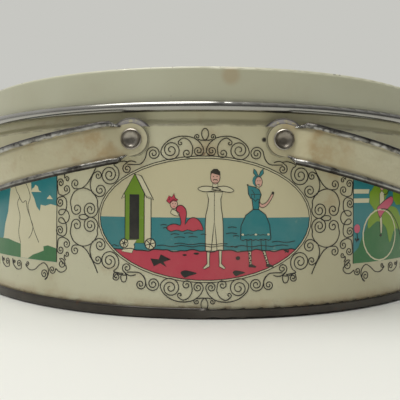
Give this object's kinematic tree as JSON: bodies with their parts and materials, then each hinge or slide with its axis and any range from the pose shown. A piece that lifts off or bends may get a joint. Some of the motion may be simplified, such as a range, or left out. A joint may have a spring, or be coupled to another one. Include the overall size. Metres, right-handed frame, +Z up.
{
  "type": "round lidded tin box with swing handles",
  "caption": "Round sheet-metal notions box with a lift-off lid and a pair of fold-down bail handles riveted to its sides.",
  "frame": {"origin": "middle of the base, on the surface that the box stands on", "axes": "+Z up towards the lid, -Y towards the front with the hut picture, +X towards the right handle"},
  "size_m": [0.3214, 0.3158, 0.1006],
  "materials": {
    "litho_paint": "satin cream enamel, printed and varnished",
    "handle_paint": "worn satin cream enamel, bare at the rolled edges",
    "bare_tinplate": "dull tarnished tinplate",
    "rivet_steel": "dull plated steel"
  },
  "bodies": {
    "tin": {"body_wall": "litho_paint", "base_disc": "bare_tinplate", "rivet_front_left": "rivet_steel", "rivet_front_right": "rivet_steel", "rivet_rear_left": "rivet_steel", "rivet_rear_right": "rivet_steel", "washer_front_left": "bare_tinplate", "washer_front_right": "bare_tinplate", "washer_rear_left": "bare_tinplate", "washer_rear_right": "bare_tinplate"},
    "lid": {"lid_shell": "litho_paint"},
    "left_bail": {"left_handle": "handle_paint"},
    "right_bail": {"right_handle": "handle_paint"}
  },
  "joints": [
    {"name": "left_handle_swing", "type": "hinge", "parent": "tin", "child": "left_bail", "pos_m": [-0.0302, 0, 0.0706], "axis": [0, 1, 0], "range_deg": [0, 111.2]},
    {"name": "right_handle_swing", "type": "hinge", "parent": "tin", "child": "right_bail", "pos_m": [0.0302, 0, 0.0706], "axis": [0, -1, 0], "range_deg": [0, 113.7]},
    {"name": "lid_lift", "type": "slide", "parent": "tin", "child": "lid", "axis": [0, 0, 1], "range_m": [0, 0.13]}
  ]
}
